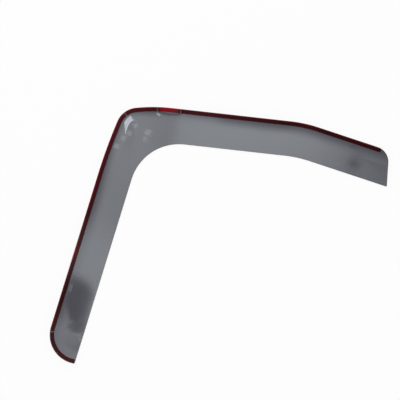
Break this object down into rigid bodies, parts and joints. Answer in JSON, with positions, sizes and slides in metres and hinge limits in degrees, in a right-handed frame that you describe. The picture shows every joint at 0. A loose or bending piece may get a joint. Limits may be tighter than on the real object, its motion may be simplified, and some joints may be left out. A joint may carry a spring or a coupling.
{
  "type": "window rain deflector",
  "caption": "L-shaped smoked acrylic rain deflector for a truck door window: a taped bonding flange along the outer edge and a hollow blade down to the free edge.",
  "frame": {"origin": "bottom centre of the bounding box, on the plane that the free edge of the blade rests on", "axes": "+Z square to the bonding face of the flange and away from the blade, +X along the straight roof edge towards the rear of the door, +Y from the window towards the roof"},
  "size_m": [0.7326, 0.608, 0.0233],
  "materials": {
    "smoked_acrylic": "polished smoked acrylic sheet",
    "foam_tape": "closed-cell acrylic foam",
    "release_liner": "smooth red polyethylene film"
  },
  "bodies": {
    "root": {"shield": "smoked_acrylic", "end_tape": "foam_tape", "pillar_tape": "foam_tape", "corner_tape": "foam_tape", "short_tape": "foam_tape", "roof_tape": "foam_tape", "end_liner": "release_liner", "pillar_liner": "release_liner", "corner_liner": "release_liner", "short_liner": "release_liner", "roof_liner": "release_liner"}
  },
  "joints": []
}
